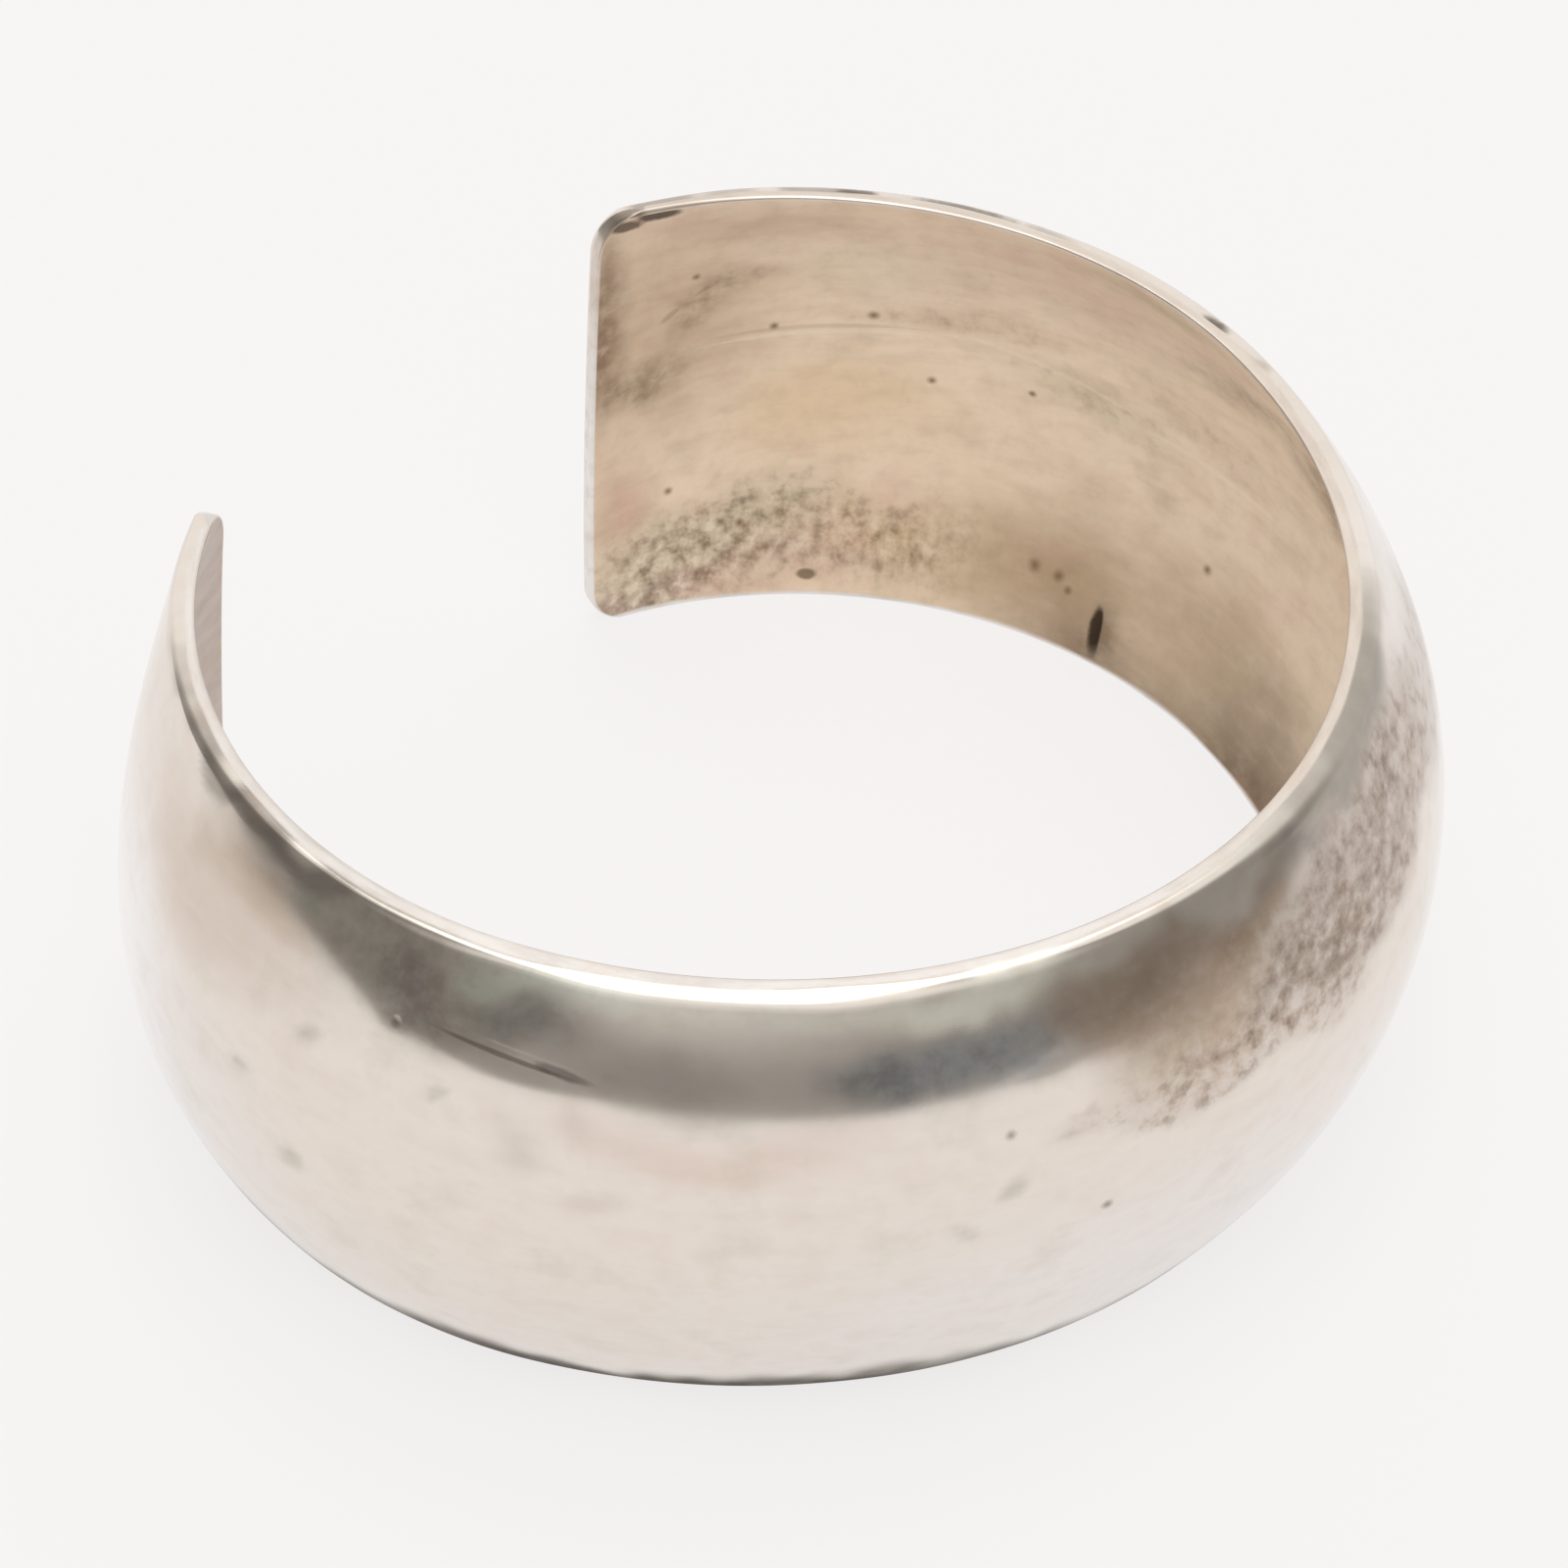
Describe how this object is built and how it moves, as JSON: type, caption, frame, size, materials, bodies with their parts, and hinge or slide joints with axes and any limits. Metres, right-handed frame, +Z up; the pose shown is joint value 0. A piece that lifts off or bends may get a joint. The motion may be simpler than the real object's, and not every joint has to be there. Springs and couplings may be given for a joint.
{
  "type": "cuff bracelet",
  "caption": "Open cuff bracelet: one wide domed oval band of old polished silver, with filed rims, rounded end corners and a gap at the back for the wrist.",
  "frame": {"origin": "centre of the bounding box, at the height of the lower rim that the cuff lies on", "axes": "+Z up through the hollow, from the lower rim to the upper one; +Y towards the open side; +X across the oval"},
  "size_m": [0.0688, 0.0572, 0.027],
  "materials": {
    "old_silver": "old sterling silver, hand polished outside, with tan patina inside, brown tarnish, pits and fine scratches"
  },
  "bodies": {
    "root": {"cuff": "old_silver"}
  },
  "joints": []
}
